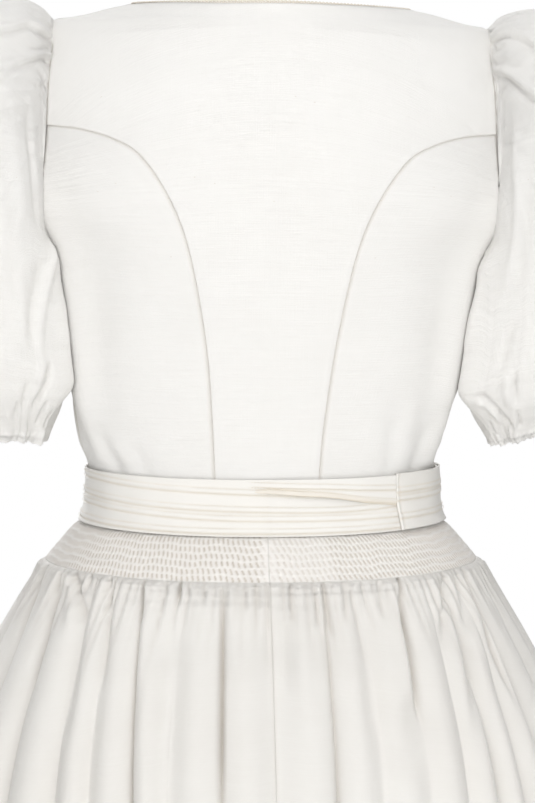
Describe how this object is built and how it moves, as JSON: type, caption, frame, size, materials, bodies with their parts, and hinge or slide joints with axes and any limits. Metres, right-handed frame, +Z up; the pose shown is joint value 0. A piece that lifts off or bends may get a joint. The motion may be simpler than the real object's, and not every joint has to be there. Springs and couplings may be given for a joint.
{
  "type": "dirndl dress",
  "caption": "Dirndl dress with a fitted bodice, short puff sleeves, a satin sash, a smocked band and a full gathered skirt, hollow as worn.",
  "frame": {"origin": "midway between the shoulder tips, on the line where the shoulder seams lie on the wearer", "axes": "+Z up along the dress; the front faces -Y; +X is the wearer's left"},
  "size_m": [0.7539, 0.6203, 1.0661],
  "materials": {
    "bodice_linen": "matt slub linen",
    "sleeve_linen": "matt slub linen",
    "sash_satin": "soft satin",
    "skirt_cloth": "soft sheen",
    "neck_braid": "plaited cord",
    "button_cloth": "satin-covered"
  },
  "bodies": {
    "root": {"back": "bodice_linen", "side_back_left": "bodice_linen", "side_back_right": "bodice_linen", "front_left": "bodice_linen", "front_right": "bodice_linen", "side_front_left": "bodice_linen", "side_front_right": "bodice_linen", "sleeve_left": "sleeve_linen", "sleeve_right": "sleeve_linen", "sash_band": "sash_satin", "sash_crossing": "sash_satin", "sash_side": "sash_satin", "smocking_left": "skirt_cloth", "smocking_right": "skirt_cloth", "skirt_left": "skirt_cloth", "skirt_right": "skirt_cloth", "neck_braid": "neck_braid", "button_1": "button_cloth", "button_2": "button_cloth", "button_3": "button_cloth", "button_4": "button_cloth", "button_5": "button_cloth", "button_6": "button_cloth"}
  },
  "joints": []
}
